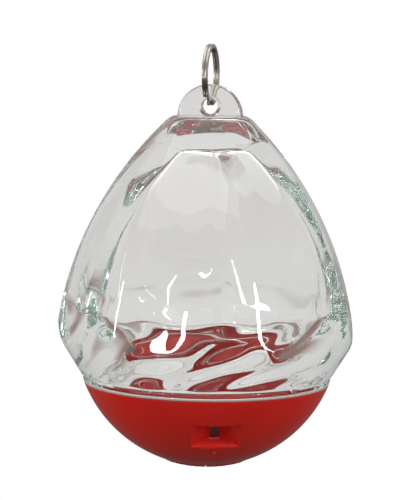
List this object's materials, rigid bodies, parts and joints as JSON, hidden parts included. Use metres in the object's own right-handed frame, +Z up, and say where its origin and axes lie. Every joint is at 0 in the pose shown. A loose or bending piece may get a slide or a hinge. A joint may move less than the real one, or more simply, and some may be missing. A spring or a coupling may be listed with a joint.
{
  "type": "glass wasp trap",
  "caption": "Hanging fluted-glass wasp trap on a split ring, with a screw-on red plastic bait bowl that has funnel-shaped entry ports round its side.",
  "frame": {"origin": "hang point: the inside top of the split ring, where a hook carries it", "axes": "+Z up along the glass's axis, the lug spanning X, the ring standing in the YZ plane, one entry port 18 degrees round from -Y towards +X"},
  "size_m": [0.1464, 0.1464, 0.2075],
  "materials": {
    "ring_steel": "bright nickel-plated spring steel",
    "clear_glass": "clear pressed soda-lime glass, faintly green where it is thick",
    "seal_rubber": "pale soft seal",
    "red_plastic": "glossy moulded plastic, opaque red"
  },
  "bodies": {
    "hanger": {"split_ring": "ring_steel"},
    "glass": {"glass_body": "clear_glass"},
    "seal": {"rim_seal": "seal_rubber"},
    "bowl": {"bait_bowl": "red_plastic"}
  },
  "joints": [
    {"name": "swing", "type": "hinge", "parent": "hanger", "child": "glass", "pos_m": [0, 0, -0.0267], "axis": [0, 1, 0], "range_deg": [-60, 60]},
    {"name": "bowl_drop", "type": "slide", "parent": "glass", "child": "seal", "axis": [0, 0, -1], "range_m": [0, 0.014]},
    {"name": "bowl_turn", "type": "hinge", "parent": "seal", "child": "bowl", "pos_m": [0, 0, -0.17], "axis": [0, 0, -1], "range_deg": [0, 360]}
  ],
  "couplings": [
    {"joint": "bowl_drop", "follows": "bowl_turn", "m_per_rad": 0.0022281}
  ]
}
